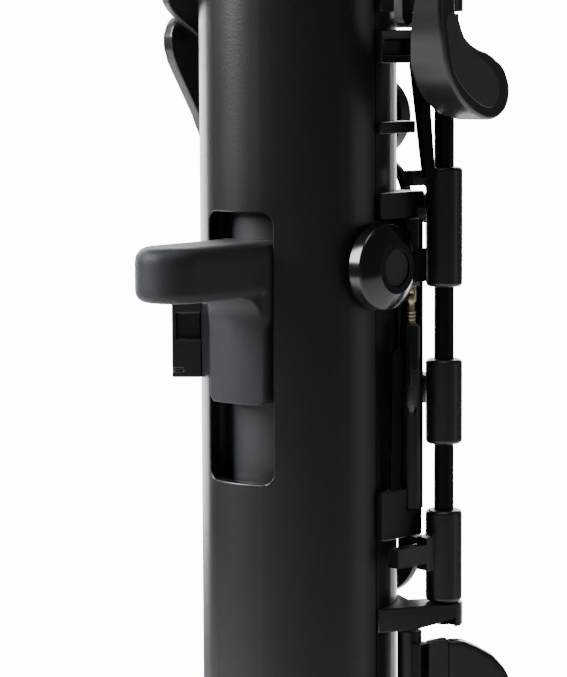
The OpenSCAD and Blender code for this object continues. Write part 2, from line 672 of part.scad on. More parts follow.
module rh1_ring_key() color(black) {
    ring_key(rh1_z, 269.7, 286.6, [278.5, 282.5]);
    // lug under the short spring
    difference() {
        translate([15.2, 5.2, 284.1]) cube([1.7, 4.8, 2.1]);
        rod_hole(right_outer, stack_rod_r, 283, 287);
    }
}

module rh2_ring_key() color(black) ring_key(rh2_z, 247.3, 259.4, [252.6, 256.6]);

module rh3_ring_key() color(black) {
    ring_key(rh3_z, 224.6, 237.8, [228.6, 232.6], 8);
    // stop arm that lies over the side of the tube, wider at its root
    about(right_outer, -stack_open) bored(right_outer, stack_rod_r, 229, 235) {
        translate([15.9, 1.6, 230.4]) cube([1.9, 8, 2.7]);
        translate([0, 0, 229.4]) linear_extrude(4.7) polygon([[15.9, 7.4], [17.8, 7.4], [18.2, 9.4], [15.5, 9.4]]);
    }
}

// Key of the lower vent, worked by the stack's rod, with a link that hangs in front of the tube
module lower_vent_key() color(black) about(right_outer, -stack_open) bored(right_outer, stack_rod_r, 306.1, 308) {
    pillar(right_outer, 2, 306.1, 308);
    bar(right_outer, [0.3, 17.5], 1.6, 306.1, 307.6);
    vent_cup(lower_vent_z) translate([-1.4, 16.5, 296]) cube([2.8, 1.7, 11.8]);
}

module lower_vent_pad() color(grey) about(right_outer, -stack_open) pad(vent(lower_vent_z));
module lower_stack_rod() color(charcoal) pillar(right_outer, stack_rod_r, 221.3, 310);

module lh3_ring_key() color(black) ring_key(lh3_z, 343.2, 358.5, [349.8, 353.8]);
module lh2_ring_key() color(black) {
    ring_key(lh2_z, 369, 396.7, [374.8, 378.8]);
    about(right_outer, -stack_open) bored(right_outer, stack_rod_r, 380, 396)
        vent_cup(upper_vent_z) bar(right_outer, [4.6, 17.2], 1.9, 388.6, 392.2);
}
module upper_vent_pad() color(grey) about(right_outer, -stack_open) pad(vent(upper_vent_z));
module upper_stack_rod() color(charcoal) pillar(right_outer, stack_rod_r, 339.8, 400.2);

// Half of the space round the side-hole key's hinge: left or right as seen from behind
module half_space(side, z1, z2, turn = 42) about(right_inner, turn)
    translate([right_inner.x + (side > 0 ? 0 : -5), right_inner.y - 5, z1]) cube([5, 10, z2 - z1]);

// Side-hole key, in two pieces whose sleeves interlock
lap = [255.7, 258];
module sliver_cup_key() color(black) bored(right_inner, sliver_rod_r + run, 255, 280) {
    difference() {
        pillar(right_inner, sliver_r, lap[0], 279.3);
        half_space(1, lap[0] - 1, lap[1]);
        // open window over the pivot screw
        half_space(-1, 264.3, 269.9, 102);
    }
    difference() {
        union() {
            translate([13.7, 5.2, 270.5]) cube([2.7, 3.6, 4.7]);
            cup(sliver_hole);
        }
        pad_room(sliver_hole);
    }
}

module sliver_touch_key() color(black) difference() {
    union() {
        pillar(right_inner, sliver_r, 238.2, lap[0]);
        intersection() {
            pillar(right_inner, sliver_r, lap[0] - 0.5, lap[1]);
            half_space(1, lap[0] - 1, lap[1] + 1);
        }
        bar(right_inner, [10.3, 12.3], 1.6, 241.6, 244.6);
        bar([10.9, 11.6], [5.5, 17.4], 1.6, 241.6, 244.6);
        at(162, 17.3, 243.1) rotate([0, 90, 0]) cylinder(r = 3.2, h = 1.5);
    }
    rod_hole(right_inner, sliver_rod_r + run, 237, 260);
    // small hole in the sleeve
    translate([right_inner.x, right_inner.y, 252.4]) rotate([0, 0, -48]) rotate([0, 90, 0]) cylinder(r = 0.7, h = 3);
}
module sliver_pad() color(grey) pad(sliver_hole);

// Keys for the right little finger: F on the outer hinge line, E and A flat on the inner one
low_sleeve_r = 1.75;
touch_in = 20;
touch_out = 21.6;
module f_c_key() color(black) about(right_outer, -low_open) bored(right_outer, rod_r + run, 150, 195) {
    pillar(right_outer, low_sleeve_r, 150.4, 195.1);
    difference() {
        union() {
            bar(right_outer, [6.6, 17.4], 2.2, 152.6, 157.4);
            cup(f_c_hole);
        }
        pad_room(f_c_hole);
    }
    bar(right_outer, plan(140, 20.9), 2, 167, 175);
    wall(133, 160, touch_in, touch_out, 164, 178);
}
module f_c_pad() color(grey) about(right_outer, -low_open) pad(f_c_hole);

module e_b_key() color(black) about(low_inner, -low_open) bored(low_inner, rod_r + run, 112, 195) {
    pillar(low_inner, small_sleeve_r, 112.4, 195.1);
    difference() {
        union() {
            bar(low_inner, [9.4, 15], 1.9, 119.6, 124.4);
            bar([10, 14.6], [6.8, 17.2], 1.9, 119.6, 124.4);
            cup(e_b_hole);
        }
        pad_room(e_b_hole);
    }
    bar(low_inner, plan(150, 20.9), 1.9, 184, 192);
    wall(134, 160, touch_in, touch_out, 181, 195);
}
module e_b_pad() color(grey) about(low_inner, -low_open) pad(e_b_hole);

// Closed-standing key, whose touch and cup rock about the hinge between them
touch_root = [20, 8];
touch_angle = 48.8;
a_flat_touch = [[-2.2, 219.4], [0, 219.8], [2.7, 219.7], [4.7, 218.8], [7.1, 217.4], [8.8, 215.5], [9.4, 214.3],
    [10.2, 211], [10.4, 207], [9.8, 203.4], [7.6, 200.6], [4, 199.6], [-2.2, 199.6]];
module a_flat_key() color(black) bored(low_inner, rod_r + run, 198, 221) {
    pillar(low_inner, low_sleeve_r, 198.8, 220.8);
    difference() {
        union() {
            bar(low_inner, plan(150, 17.4), 2, 202.6, 207.4);
            cup(a_flat_hole);
        }
        pad_room(a_flat_hole);
    }
    bar(low_inner, [18.5, 6.1], 2.6, 201, 219.2);
    translate([touch_root.x, touch_root.y, 0]) rotate([90, 0, touch_angle])
        linear_extrude(2.6, center = true) polygon(a_flat_touch);
}
module a_flat_pad() color(grey) pad(a_flat_hole);

// Thumb ring on the back
thumb_ring_az = 56;
thumb_ring_hr = 18;
thumb_ring_axis = plan(thumb_ring_az, thumb_ring_hr);
module thumb_ring_key() color(black) about(thumb_ring_axis, stack_open) bored(thumb_ring_axis, rod_r + run, 400, 420) {
    pillar(thumb_ring_axis, small_sleeve_r, 400.8, 419.2);
    bar(thumb_ring_axis, plan(18, 16.9), 1.8, 408, 412);
    at(0, ring_face - ring_t, thumb_z) rotate([0, 90, 0]) difference() {
        cylinder(r = ring_out, h = ring_t);
        translate([0, 0, -1]) cylinder(r = ring_in, h = ring_t + 2);
    }
}

// ---------- left-hand keys ----------

// Curved touch whose outline is given as distance round from azimuth a, and height
module touch(a, r, t) intersection() {
    wall(a - 60, a + 60, r, r + t, 280, 340);
    at(a, 2) rotate([90, 0, 90]) linear_extrude(40) children();
}

module c_sharp_key() color(black) bored(left_inner, rod_r + run, 316, 342) {
    pillar(left_inner, small_sleeve_r, 316.4, 341.6);
    difference() {
        union() {
            bar(left_inner, plan(220, 17.6), 1.9, 325.6, 330.4);
            cup(c_sharp_hole);
        }
        pad_room(c_sharp_hole);
    }
    bar(left_inner, plan(251, 18.9), 1.9, 318, 328);
    touch(275, 18.2, 1.2) polygon([
        [-7.6, 330], [2, 330], [7, 327.6], [10.4, 323], [12.6, 316.4], [12, 312.4], [9.4, 309.6], [5, 307.7],
        [1, 305.9], [-2.2, 304.1], [-4.4, 304.6], [-5.4, 308], [-5.6, 316.6], [-7.6, 317.6]]);
}
module c_sharp_pad() color(grey) pad(c_sharp_hole);

// Lever on the left side whose short tail lifts the tail of the F sharp key
lever_open = 4.5;
module f_sharp_lever() color(black) bored(left_outer, rod_r + run, 173, 305) {
    pillar(left_outer, small_sleeve_r, 173.7, 304.3);
    about(left_outer, -lever_open) bar(left_outer, [-13.2, 13.4], 1.7, 186.4, 189.6);
    bar(left_outer, plan(250, 22.4), 1.9, 293, 302);
    touch(262, 21, 2.2) polygon([
        [-5.6, 304], [-3, 307], [2, 307.8], [5.2, 307.8], [6.35, 306.7], [7.1, 305.1], [7, 303.3], [6.2, 301.4],
        [4.5, 298.8], [2.95, 296.4], [1.1, 293.4], [-0.5, 289.8], [-4, 288.8], [-5.6, 291]]);
}

module f_sharp_key() color(black) about(front_left, lever_open) bored(front_left, rod_r + run, 172, 191) {
    pillar(front_left, small_sleeve_r, 172.8, 190.7);
    difference() {
        union() {
            bar(front_left, [-1.6, 17.6], 1.9, 177.6, 182.4);
            cup(f_sharp_hole);
        }
        pad_room(f_sharp_hole);
    }
    bar(front_left, [-14.2, 15.4], 1.9, 186, 190);
}
module f_sharp_pad() color(grey) about(front_left, lever_open) pad(f_sharp_hole);

// ---------- choosing a node ----------

bell();
barrel();
mouthpiece();
reed();
ligature();
ligature_screw(lig_low + 5);  // ligature_screw_low
ligature_screw(lig_top - 5);  // ligature_screw_high
joint_seals();
front_shell();
back_shell();
bore_tube();
tone_hole_chimneys();
register_tube();
right_posts();
left_posts();
back_posts();
front_posts();
hinge_rods();
pivot_screws();
leaf_springs();
thumb_rest();
register_key();
register_pad();
thumb_ring_key();
throat_a_key();
pad(throat_a_hole);  // throat_a_pad
throat_g_sharp_key();
pad(throat_g_hole);  // throat_g_sharp_pad
side_key_low();
side_key_low_inlay();
pad(side_low_hole);  // side_key_low_pad
side_key_high();
pad(side_high_hole);  // side_key_high_pad
upper_stack_rod();
lh2_ring_key();
lh3_ring_key();
upper_vent_pad();
c_sharp_key();
c_sharp_pad();
lower_stack_rod();
rh1_ring_key();
rh2_ring_key();
rh3_ring_key();
lower_vent_key();
lower_vent_pad();
sliver_cup_key();
sliver_touch_key();
sliver_pad();
f_sharp_key();
f_sharp_pad();
f_sharp_lever();
e_b_key();
e_b_pad();
f_c_key();
f_c_pad();
a_flat_key();
a_flat_pad();
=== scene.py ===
# %% [markdown]
# # A clarinet in moulded plastic
#
# The frame holds the working model: every shell, post, rod and key at its true size, each riding on
# the body it moves with. This lesson dresses that model. Mouldings get the small round edges that a
# mould leaves, every part gets the surface of its real material, and soft studio light shows them.

# %% Load the frame
import json
import math
import bpy
from mathutils import Matrix, Vector


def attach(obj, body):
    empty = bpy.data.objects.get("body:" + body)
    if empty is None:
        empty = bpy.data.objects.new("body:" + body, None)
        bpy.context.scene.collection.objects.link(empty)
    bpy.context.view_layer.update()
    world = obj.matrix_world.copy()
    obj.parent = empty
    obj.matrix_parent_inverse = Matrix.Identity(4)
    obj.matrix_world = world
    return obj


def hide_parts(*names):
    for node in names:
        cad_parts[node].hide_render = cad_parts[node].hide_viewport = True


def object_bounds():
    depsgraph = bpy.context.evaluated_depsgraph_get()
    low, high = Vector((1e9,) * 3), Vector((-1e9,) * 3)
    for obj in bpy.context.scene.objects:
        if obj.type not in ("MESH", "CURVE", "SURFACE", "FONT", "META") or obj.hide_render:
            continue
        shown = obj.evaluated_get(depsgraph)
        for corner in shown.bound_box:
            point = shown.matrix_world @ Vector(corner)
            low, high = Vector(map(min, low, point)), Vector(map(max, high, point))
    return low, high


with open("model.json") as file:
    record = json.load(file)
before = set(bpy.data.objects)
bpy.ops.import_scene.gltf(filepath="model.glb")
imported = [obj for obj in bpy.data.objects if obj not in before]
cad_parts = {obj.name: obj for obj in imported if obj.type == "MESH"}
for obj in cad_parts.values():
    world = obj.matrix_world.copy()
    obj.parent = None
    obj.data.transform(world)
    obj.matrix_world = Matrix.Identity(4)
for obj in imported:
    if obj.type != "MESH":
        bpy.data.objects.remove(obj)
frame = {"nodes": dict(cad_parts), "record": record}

cad_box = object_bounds()
print("CAD box", [[round(v, 4) for v in corner] for corner in cad_box])
body_of_node = {n: b for b, ns in frame["record"]["behaviour"]["bodies"].items() for n in ns}
slot_of_node = {s["node"]: s["material_slot"] for s in frame["record"]["subparts"]}

# %% [markdown]
# ## Camera
#
# A long lens close to the thumb side shows the slide, its slot and the right-hand hinges. The camera
# looks across azimuth 42 and slightly down, so its axes are worked out from those two angles and a
# small roll, which keeps every number readable.

# %% Place the camera
AZIMUTH = math.radians(42.0)
PITCH = math.radians(6.0)
ROLL = math.radians(0.26)
AIM_HEIGHT = 0.262
DISTANCE = 0.4145
ASIDE = 0.00219
LENS_MM = 154.2097
flat = math.cos(PITCH)
forward = Vector((-math.sin(AZIMUTH) * flat, math.cos(AZIMUTH) * flat, -math.sin(PITCH)))
right = Vector((math.cos(AZIMUTH), math.sin(AZIMUTH), 0.0))
up = right.cross(forward)
place = Vector((0.0, 0.0, AIM_HEIGHT)) - ASIDE * right - DISTANCE * forward
bpy.ops.object.camera_add(location=place)
camera = bpy.context.active_object
camera.name = "camera"
camera.data.lens = LENS_MM
camera.data.clip_start = 0.01
side = right * math.cos(ROLL) - up * math.sin(ROLL)
top = up * math.cos(ROLL) + right * math.sin(ROLL)
camera.rotation_euler = Matrix((side, top, -forward)).transposed().to_euler()
bpy.context.scene.camera = camera
print("camera at", [round(v, 3) for v in camera.location])

# %% [markdown]
# ## Light
#
# Black plastic shows its shape only by what it reflects. A dim, even room keeps the middle of the tube
# dark; a tall softbox on the left draws one broad soft streak; softboxes behind give the bright rims that
# a shiny curve always shows at its edges. They are slightly cool, so that black plastic looks bluish, and
# they are area lights, which leave no hard shadow. The wall is bright only where the camera sees it.

# %% Room
room = bpy.data.worlds.new("studio_room")
bpy.context.scene.world = room
room.use_nodes = True
room_tree = room.node_tree
seen = room_tree.nodes.new("ShaderNodeLightPath")
level = room_tree.nodes.new("ShaderNodeMix")
level.inputs["A"].default_value = 0.09
level.inputs["B"].default_value = 14.0
room_tree.links.new(seen.outputs["Is Camera Ray"], level.inputs["Factor"])
room_tree.nodes["Background"].inputs["Color"].default_value = (1.0, 1.0, 1.0, 1.0)
room_tree.links.new(level.outputs["Result"], room_tree.nodes["Background"].inputs["Strength"])
print("room: white wall behind, dim light")


# %% Softboxes
COOL_WHITE = (0.93, 0.965, 1.0)
AIM = Vector((0.0, 0.0, 0.28))


def softbox(name, turn, distance, height, width, tall, power):
    """An area light, turned in degrees from the camera's side of the object, aimed at the middle."""
    angle = AZIMUTH + math.radians(turn)
    spot = Vector((math.sin(angle) * distance, -math.cos(angle) * distance, height))
    bpy.ops.object.light_add(type="AREA", location=spot)
    box = bpy.context.active_object
    box.name = name
    box.data.shape = "RECTANGLE"
    box.data.size = width
    box.data.size_y = tall
    box.data.energy = power
    box.data.color = COOL_WHITE
    box.visible_camera = False
    box.rotation_euler = (AIM - spot).to_track_quat("-Z", "Y").to_euler()
    print(name, "at", [round(v, 2) for v in spot], power, "W")
    return box


softbox("left_softbox", -84.0, 0.9, 0.74, 0.36, 0.6, 23.0)
softbox("left_rear_softbox", -152.0, 1.1, 0.48, 0.5, 0.9, 12.0)
softbox("rear_softbox", 180.0, 1.2, 0.85, 1.0, 0.5, 16.0)
softbox("right_rear_softbox", 160.0, 1.1, 0.35, 0.4, 1.2, 7.0)
softbox("right_fill", 78.0, 1.2, 0.4, 0.4, 1.0, 0.9)
softbox("overhead", -20.0, 0.25, 1.3, 0.7, 0.7, 6.0)

# %% [markdown]
# ## Floor
#
# The instrument stands on its bell, so the floor lies a hair below the bell's rim. A wide disc is
# enough; it is a stage, not part of the object.

# %% Floor
bpy.ops.object.select_all(action="DESELECT")
FLOOR_RADIUS = 0.75
FLOOR_THICK = 0.01
FLOOR_GAP = 0.0002
floor_middle = cad_box[0][2] - FLOOR_GAP - FLOOR_THICK / 2.0
bpy.ops.mesh.primitive_cylinder_add(vertices=128, radius=FLOOR_RADIUS, depth=FLOOR_THICK,
                                    location=(0.0, 0.0, floor_middle))
floor = bpy.context.active_object
floor.name = "studio_floor"
bpy.ops.object.transform_apply(location=True, rotation=True, scale=True)
print("floor top at", round(max(v.co.z for v in floor.data.vertices) * 1000, 2), "mm")

# %% [markdown]
# ## Finishes
#
# Each finish is one material named for what the real part is made of. Colours are written as screen
# hex values, so one function turns them to the linear values a shader works in, and one helper adds a
# node with its settings and links. Pattern sizes come from real millimetres: one over the size in
# metres is the noise scale on object coordinates.


# %% Helpers for finishes
def linear(code):
    """A screen colour such as 1b1d20 as linear red, green, blue and alpha."""
    parts = [int(code[i:i + 2], 16) / 255.0 for i in (0, 2, 4)]
    return tuple(c / 12.92 if c <= 0.04045 else ((c + 0.055) / 1.055) ** 2.4 for c in parts) + (1.0,)


def add(tree, kind, values=None, links=None, **settings):
    """Adds a node to a material; values fill its sockets and links join other nodes' outputs to them."""
    node = tree.nodes.new(kind)
    for key, value in settings.items():
        setattr(node, key, value)
    for key, value in (values or {}).items():
        node.inputs[key].default_value = value
    for key, source in (links or {}).items():
        tree.links.new(source, node.inputs[key])
    return node


def per_mm(size):
    """Noise scale for a pattern whose features are this many millimetres apart."""
    return 1000.0 / size


def blank(name):
    """A new material with its shader, and the object coordinates its patterns read."""
    material = bpy.data.materials.new(name)
    material.use_nodes = True
    tree = material.node_tree
    place_on = tree.nodes.new("ShaderNodeTexCoord").outputs["Object"]
    return material, tree, tree.nodes["Principled BSDF"], place_on


print("one white is", linear("ffffff")[0])


# %% [markdown]
# ### Moulded ABS
#
# The shells and keys are injection-moulded ABS, spark-eroded in the mould to a satin grain. To the eye
# that is a near-black surface with a wide soft streak broken by grain of about a third of a
# millimetre. ABS has an IOR near 1.53. Roughness drifts a little over centimetres, where hands polish
# it, and the grain itself is a fine bump.

# %% Satin ABS
def satin_abs(name, dark, light, smooth, rough, grain, depth):
    material, tree, shader, place_on = blank(name)
    drift = add(tree, "ShaderNodeTexNoise", {"Scale": per_mm(14.0), "Detail": 3.0}, {"Vector": place_on})
    speck = add(tree, "ShaderNodeTexNoise", {"Scale": per_mm(grain), "Detail": 2.0}, {"Vector": place_on})
    shade = add(tree, "ShaderNodeMix", {"A": linear(dark), "B": linear(light)},
                {"Factor": speck.outputs[0]}, data_type="RGBA")
    spread = add(tree, "ShaderNodeMapRange", {"To Min": smooth, "To Max": rough}, {"Value": drift.outputs[0]})
    relief = add(tree, "ShaderNodeBump", {"Strength": 0.35, "Distance": depth}, {"Height": speck.outputs[0]})
    tree.links.new(shade.outputs[2], shader.inputs["Base Color"])
    tree.links.new(spread.outputs["Result"], shader.inputs["Roughness"])
    tree.links.new(relief.outputs["Normal"], shader.inputs["Normal"])
    shader.inputs["IOR"].default_value = 1.53
    return material


body_abs = satin_abs("satin_abs_body", "0d0e10", "17181b", 0.29, 0.37, 0.35, 0.00004)
key_abs = satin_abs("satin_abs_keys", "0c0d0f", "16181b", 0.3, 0.38, 0.3, 0.00003)
cup_abs = satin_abs("polished_abs_cups", "0a0b0c", "121315", 0.14, 0.22, 0.5, 0.00001)
tube_abs = satin_abs("dull_abs_inner_tube", "121417", "1c1e22", 0.42, 0.5, 0.4, 0.00004)
beak_abs = satin_abs("polished_mouthpiece_resin", "08080a", "101113", 0.1, 0.16, 0.8, 0.00001)
print("satin ABS ready in five grades")

# %% [markdown]
# ### Soft-touch silicone
#
# The thumb rest and the paddle's inlay are covered in silicone rubber. It has no sharp highlight:
# light spreads over it in a dusty slate bloom, so the roughness is high and a faint sheen stands for
# the powdery skin. IOR of silicone is about 1.41.

# %% Silicone
def silicone(name, dark, light, grain, depth):
    material, tree, shader, place_on = blank(name)
    cloud = add(tree, "ShaderNodeTexNoise", {"Scale": per_mm(6.0), "Detail": 4.0}, {"Vector": place_on})
    skin = add(tree, "ShaderNodeTexNoise", {"Scale": per_mm(grain), "Detail": 2.0}, {"Vector": place_on})
    shade = add(tree, "ShaderNodeMix", {"A": linear(dark), "B": linear(light)},
                {"Factor": cloud.outputs[0]}, data_type="RGBA")
    relief = add(tree, "ShaderNodeBump", {"Strength": 0.6, "Distance": depth}, {"Height": skin.outputs[0]})
    tree.links.new(shade.outputs[2], shader.inputs["Base Color"])
    tree.links.new(relief.outputs["Normal"], shader.inputs["Normal"])
    shader.inputs["Roughness"].default_value = 0.58
    shader.inputs["IOR"].default_value = 1.41
    shader.inputs["Sheen Weight"].default_value = 0.06
    shader.inputs["Sheen Roughness"].default_value = 0.5
    return material


rest_silicone = silicone("soft_touch_silicone", "111317", "171a1f", 0.32, 0.00006)
pad_silicone = silicone("black_silicone_pads", "101113", "1a1b1e", 0.4, 0.00002)
print("silicone ready in two colours")

# %% [markdown]
# ### Metals
#
# Rods are drawn steel, some blackened in an oil bath; springs are blued; the pivot screw is turned
# brass under worn nickel; the ligature is nickel plate. Drawing leaves hair lines along the rod, and
# turning leaves them round the screw, so a Mapping node stretches the noise that roughens the metal. A
# metal keeps the default IOR: its colour does the work.

# %% Drawn and turned metals
def drawn_metal(name, dark, light, smooth, rough, along):
    material, tree, shader, place_on = blank(name)
    stretch = add(tree, "ShaderNodeMapping", {"Scale": along}, {"Vector": place_on})
    hairs = add(tree, "ShaderNodeTexNoise", {"Scale": per_mm(0.2), "Detail": 3.0},
                {"Vector": stretch.outputs["Vector"]})
    wear = add(tree, "ShaderNodeTexNoise", {"Scale": per_mm(2.5), "Detail": 4.0}, {"Vector": place_on})
    shade = add(tree, "ShaderNodeMix", {"A": linear(dark), "B": linear(light)},
                {"Factor": wear.outputs[0]}, data_type="RGBA")
    spread = add(tree, "ShaderNodeMapRange", {"To Min": smooth, "To Max": rough}, {"Value": hairs.outputs[0]})
    tree.links.new(shade.outputs[2], shader.inputs["Base Color"])
    tree.links.new(spread.outputs["Result"], shader.inputs["Roughness"])
    shader.inputs["Metallic"].default_value = 1.0
    return material


dark_steel = drawn_metal("oil_blackened_steel", "1c1c1e", "2c2b2b", 0.3, 0.42, (1.0, 1.0, 0.04))
bright_steel = drawn_metal("drawn_steel", "8c8e92", "b4b5b8", 0.22, 0.34, (1.0, 1.0, 0.04))
blued_steel = drawn_metal("blued_spring_steel", "16171a", "24262b", 0.3, 0.42, (1.0, 1.0, 0.05))
worn_brass = drawn_metal("nickel_worn_brass", "a08d74", "d8c7ab", 0.24, 0.36, (0.05, 0.05, 1.0))
nickel = drawn_metal("nickel_plate", "bfbdb8", "d2d0cb", 0.12, 0.2, (0.2, 0.2, 1.0))
print("five metals ready")

# %% [markdown]
# ### Cane
#
# The reed is cut from cane, whose fibres run its whole length as fine light and dark lines about a
# third of a millimetre apart. Noise stretched along Z gives them, and the same lines raise a fine relief.

# %% Cane
cane, cane_tree, cane_shader, cane_place = blank("cut_cane")
cane_stretch = add(cane_tree, "ShaderNodeMapping", {"Scale": (1.0, 1.0, 0.02)}, {"Vector": cane_place})
fibres = add(cane_tree, "ShaderNodeTexNoise", {"Scale": per_mm(0.35), "Detail": 3.0},
             {"Vector": cane_stretch.outputs["Vector"]})
cane_shade = add(cane_tree, "ShaderNodeMix", {"A": linear("b89458"), "B": linear("e2cd97")},
                 {"Factor": fibres.outputs[0]}, data_type="RGBA")
cane_relief = add(cane_tree, "ShaderNodeBump", {"Strength": 0.3, "Distance": 0.00005},
                  {"Height": fibres.outputs[0]})
cane_tree.links.new(cane_shade.outputs[2], cane_shader.inputs["Base Color"])
cane_tree.links.new(cane_relief.outputs["Normal"], cane_shader.inputs["Normal"])
cane_shader.inputs["Roughness"].default_value = 0.55
cane_shader.inputs["IOR"].default_value = 1.54
print("cane ready")

# %% [markdown]
# ### Painted floor
#
# A matte white board with faint mottling, so the eye reads a surface and not a void.

# %% Floor paint
board, board_tree, board_shader, board_place = blank("matte_white_board")
mottle = add(board_tree, "ShaderNodeTexNoise", {"Scale": per_mm(60.0), "Detail": 4.0},
             {"Vector": board_place})
board_shade = add(board_tree, "ShaderNodeMix", {"A": linear("f2f2f1"), "B": linear("fbfbfa")},
                  {"Factor": mottle.outputs[0]}, data_type="RGBA")
board_tree.links.new(board_shade.outputs[2], board_shader.inputs["Base Color"])
board_shader.inputs["Roughness"].default_value = 0.7
floor.data.materials.append(board)
print("floor painted")

# %% [markdown]
# ## Mouldings
#
# CAD edges are knife sharp, and nothing moulded is. Each moulding is therefore copied, its loose
# triangles are merged and flat areas joined, and corners sharper than 30 degrees are rounded with a
# bevel of a real radius, which shrinks by itself where short edges leave no room. Where that would take
# too much, only chosen edges are rounded: a circle round an axis, a slot's rim, or the long edges.
# Weighted normals keep the flat faces flat. The copy stands for the CAD node and rides on the same
# body, so it moves as the node would.

# %% Helpers for mouldings
FINISH = {
    "moulded_body": body_abs, "moulded_keys": key_abs, "key_cups": cup_abs, "inner_tube": tube_abs,
    "soft_touch": rest_silicone, "pads": pad_silicone, "dark_rods": dark_steel, "bright_rods": bright_steel,
    "springs": blued_steel, "screws": worn_brass, "ligature": nickel, "mouthpiece": beak_abs, "reed": cane}


def only(piece):
    """Makes this the one selected and active object."""
    bpy.ops.object.select_all(action="DESELECT")
    piece.select_set(True)
    bpy.context.view_layer.objects.active = piece


def copy_of(node, ending):
    """A clean copy of a CAD node: merged points and whole flat faces."""
    piece = bpy.data.objects.new(node + "_" + ending, frame["nodes"][node].data.copy())
    bpy.context.scene.collection.objects.link(piece)
    only(piece)
    if piece.data.has_custom_normals:
        bpy.ops.mesh.customdata_custom_splitnormals_clear()
    bpy.ops.object.mode_set(mode="EDIT")
    bpy.ops.mesh.select_all(action="SELECT")
    bpy.ops.mesh.remove_doubles(threshold=0.000002)
    bpy.ops.mesh.dissolve_limited(angle_limit=math.radians(0.4))
    bpy.ops.object.mode_set(mode="OBJECT")
    piece.data.materials.clear()
    piece.data.materials.append(FINISH[slot_of_node[node]])
    return piece


def near_axis(point, reach, low, high):
    """Picks edges that lie on a circle round an upright axis, between two heights; all in millimetres."""
    def on_circle(p):
        off = math.hypot(p.x * 1000 - point[0], p.y * 1000 - point[1]) - reach
        return abs(off) < 0.03 and low <= p.z * 1000 <= high

    def chosen(a, b):
        return on_circle(a) and on_circle(b) and abs(a.z - b.z) < 0.00001
    return chosen


def round_edges(piece, radius, steps, chosen):
    """Rounds the edges that the test picks, radius in millimetres, and says how many there were."""
    only(piece)
    bpy.ops.object.mode_set(mode="EDIT")
    bpy.ops.mesh.select_mode(type="EDGE")
    bpy.ops.mesh.select_all(action="DESELECT")
    bpy.ops.object.mode_set(mode="OBJECT")
    points = piece.data.vertices
    for edge in piece.data.edges:
        edge.select = chosen(points[edge.vertices[0]].co, points[edge.vertices[1]].co)
    picked = sum(edge.select for edge in piece.data.edges)
    bpy.ops.object.mode_set(mode="EDIT")
    bpy.ops.mesh.bevel(offset=radius / 1000.0, segments=steps, affect="EDGES", clamp_overlap=False)
    bpy.ops.object.mode_set(mode="OBJECT")
    return picked


def round_long(piece, radius, steps=3, longer=0.9):
    """Rounds the sharp edges that are longer than a given length; all in millimetres."""
    only(piece)
    bpy.ops.object.mode_set(mode="EDIT")
    bpy.ops.mesh.select_mode(type="EDGE")
    bpy.ops.mesh.select_all(action="DESELECT")
    bpy.ops.mesh.edges_select_sharp(sharpness=math.radians(30.0))
    bpy.ops.object.mode_set(mode="OBJECT")
    points = piece.data.vertices
    for edge in piece.data.edges:
        a, b = (points[i].co for i in edge.vertices)
        edge.select = edge.select and (a - b).length * 1000.0 > longer
    bpy.ops.object.mode_set(mode="EDIT")
    bpy.ops.mesh.bevel(offset=radius / 1000.0, segments=steps, affect="EDGES", clamp_overlap=False)
    bpy.ops.object.mode_set(mode="OBJECT")
    return piece


def even_normals(piece):
    """Smooth shading that keeps flat faces flat."""
    only(piece)
    bpy.ops.object.shade_smooth_by_angle(angle=math.radians(40.0))
    even = piece.modifiers.new("flat_faces", "WEIGHTED_NORMAL")
    even.keep_sharp = True
    bpy.ops.object.modifier_apply(modifier=even.name)
    return piece


def cut_away(piece, point, normal):
    """Cuts the piece by a plane, closes the cut and drops what lies on the normal's side; millimetres."""
    only(piece)
    bpy.ops.object.mode_set(mode="EDIT")
    bpy.ops.mesh.select_all(action="SELECT")
    bpy.ops.mesh.bisect(plane_co=[v / 1000.0 for v in point], plane_no=normal, use_fill=True,
                        clear_outer=True)
    bpy.ops.object.mode_set(mode="OBJECT")
    return piece


def melt(piece, size, rounds):
    """Gives the piece an even skin and eases every edge; a larger number of rounds gives a larger radius."""
    only(piece)
    skin = piece.modifiers.new("even_skin", "REMESH")
    skin.mode = "VOXEL"
    skin.voxel_size = size / 1000.0
    bpy.ops.object.modifier_apply(modifier=skin.name)
    ease = piece.modifiers.new("rounded_skin", "SMOOTH")
    ease.factor = 0.5
    ease.iterations = rounds
    bpy.ops.object.modifier_apply(modifier=ease.name)
    bpy.ops.object.shade_smooth()
    return piece


def settle(piece, node):
    """The finished piece rides with the node's body and stands for the node."""
    piece.data.update()
    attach(piece, body_of_node[node])
    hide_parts(node)
    return piece


def round_off(piece, radius, steps=2, sharper_than=30.0):
    """Rounds every corner sharper than the angle, radius in millimetres."""
    only(piece)
    bevel = piece.modifiers.new("mould_radius", "BEVEL")
    bevel.width = radius / 1000.0
    bevel.segments = steps
    bevel.limit_method = "ANGLE"
    bevel.angle_limit = math.radians(sharper_than)
    bpy.ops.object.modifier_apply(modifier=bevel.name)
    bpy.ops.object.shade_smooth_by_angle(angle=math.radians(40.0))
    even = piece.modifiers.new("flat_faces", "WEIGHTED_NORMAL")
    even.keep_sharp = True
    bpy.ops.object.modifier_apply(modifier=even.name)
    return piece


def moulding(node, radius, steps=2):
    """A node as a moulding with round edges."""
    piece = settle(round_off(copy_of(node, "moulding"), radius, steps), node)
    print(piece.name, len(piece.data.polygons), "faces")
    return piece


# %% [markdown]
# ### Tube, bell and barrel
#
# The two shells meet in a parting line along each side, and the slot is cut through the back one. A
# radius of 0.3 mm catches light along the slot's outer edge, and half of that along the parting line.

# %% Shells, bell and barrel
TUBE_RADIUS = 14.0
SLOT_HEIGHTS = (242.7, 280.9)
SLOT_TURNS = (-22.1, 27.1)


